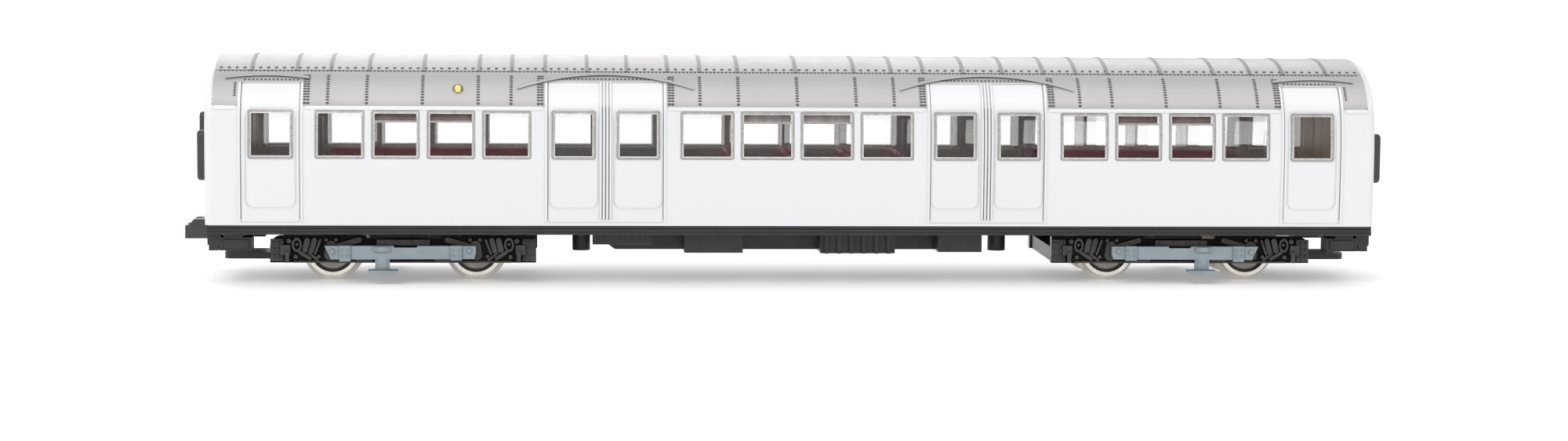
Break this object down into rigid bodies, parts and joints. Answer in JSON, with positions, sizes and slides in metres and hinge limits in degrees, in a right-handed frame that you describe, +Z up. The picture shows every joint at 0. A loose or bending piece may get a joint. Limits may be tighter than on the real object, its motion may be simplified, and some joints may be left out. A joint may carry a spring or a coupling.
{
  "type": "model passenger coach",
  "caption": "Scale model underground-railway coach: white die-cast body, grey riveted roof, clear glazing, seats, swivelling bogies with spinning pinpoint wheelsets and a swinging coupling.",
  "frame": {"origin": "middle of the coach's whole box in plan, at the level of the wheel flanges' lowest points", "axes": "+X along the coach towards the socket end, +Y across it towards the far side, +Z up"},
  "size_m": [0.2132, 0.0342, 0.0394],
  "materials": {
    "body_paint": "satin white enamel sides with a satin mid-grey roof",
    "clear_glazing": "clear polished moulding",
    "window_frame_metal": "silver-grey print",
    "interior_grey": "matt dark grey moulding",
    "interior_brown": "matt ochre-brown",
    "seat_maroon": "matt maroon",
    "underframe_black": "satin black moulding",
    "cover_grey": "satin dark grey moulding",
    "shoe_beam_grey": "satin blue-grey moulding",
    "wheel_metal": "bright nickel tread",
    "axle_steel": "turned steel",
    "bush_plastic": "black moulding",
    "lamp_yellow": "gloss yellow",
    "screw_steel": "blackened steel"
  },
  "bodies": {
    "coach_body": {"body_shell": "body_paint", "bulkhead_a": "interior_brown", "bulkhead_b": "interior_brown", "chassis": "underframe_black", "coupler_screw": "screw_steel", "draw_socket": "underframe_black", "end_cover_a_centre": "cover_grey", "end_cover_a_far": "cover_grey", "end_cover_a_near": "cover_grey", "end_cover_b_centre": "cover_grey", "end_cover_b_far": "cover_grey", "end_cover_b_near": "cover_grey", "end_glazing_a": "clear_glazing", "end_glazing_b": "clear_glazing", "equipment_case": "underframe_black", "equipment_tray": "underframe_black", "glazing_far": "clear_glazing", "glazing_near": "clear_glazing", "headstock_a": "underframe_black", "headstock_b": "underframe_black", "indicator_lamp_far": "lamp_yellow", "indicator_lamp_near": "lamp_yellow", "interior_floor": "interior_grey", "pivot_screw_a": "screw_steel", "pivot_screw_b": "screw_steel", "seat_bank_a": "seat_maroon", "seat_bank_b": "seat_maroon", "seat_bank_mid": "seat_maroon", "window_frames_far": "window_frame_metal", "window_frames_near": "window_frame_metal"},
    "coupling": {"coupler": "underframe_black"},
    "bogie_a": {"bogie_frame_a": "underframe_black", "shoe_beam_a_near": "shoe_beam_grey", "shoe_beam_a_far": "shoe_beam_grey"},
    "wheelset_a1": {"axle_a1": "axle_steel", "bushes_a1": "bush_plastic", "wheel_a1_near": "wheel_metal", "wheel_a1_far": "wheel_metal"},
    "wheelset_a2": {"axle_a2": "axle_steel", "bushes_a2": "bush_plastic", "wheel_a2_near": "wheel_metal", "wheel_a2_far": "wheel_metal"},
    "bogie_b": {"bogie_frame_b": "underframe_black", "shoe_beam_b_near": "shoe_beam_grey", "shoe_beam_b_far": "shoe_beam_grey"},
    "wheelset_b1": {"axle_b1": "axle_steel", "bushes_b1": "bush_plastic", "wheel_b1_near": "wheel_metal", "wheel_b1_far": "wheel_metal"},
    "wheelset_b2": {"axle_b2": "axle_steel", "bushes_b2": "bush_plastic", "wheel_b2_near": "wheel_metal", "wheel_b2_far": "wheel_metal"}
  },
  "joints": [
    {"name": "bogie_a_swivel", "type": "hinge", "parent": "coach_body", "child": "bogie_a", "pos_m": [-0.06765, 0, 0.00775], "axis": [0, 0, 1], "range_deg": [-9, 9]},
    {"name": "wheelset_a1_spin", "type": "hinge", "parent": "bogie_a", "child": "wheelset_a1", "pos_m": [-0.08015, 0, 0.0055], "axis": [0, 1, 0], "continuous": true},
    {"name": "wheelset_a2_spin", "type": "hinge", "parent": "bogie_a", "child": "wheelset_a2", "pos_m": [-0.05515, 0, 0.0055], "axis": [0, 1, 0], "continuous": true},
    {"name": "bogie_b_swivel", "type": "hinge", "parent": "coach_body", "child": "bogie_b", "pos_m": [0.06935, 0, 0.00775], "axis": [0, 0, 1], "range_deg": [-9, 9]},
    {"name": "wheelset_b1_spin", "type": "hinge", "parent": "bogie_b", "child": "wheelset_b1", "pos_m": [0.08185, 0, 0.0055], "axis": [0, 1, 0], "continuous": true},
    {"name": "wheelset_b2_spin", "type": "hinge", "parent": "bogie_b", "child": "wheelset_b2", "pos_m": [0.05685, 0, 0.0055], "axis": [0, 1, 0], "continuous": true},
    {"name": "coupler_swing", "type": "hinge", "parent": "coach_body", "child": "coupling", "pos_m": [-0.09665, 0, 0.00795], "axis": [0, 0, 1], "range_deg": [-8, 8]}
  ]
}
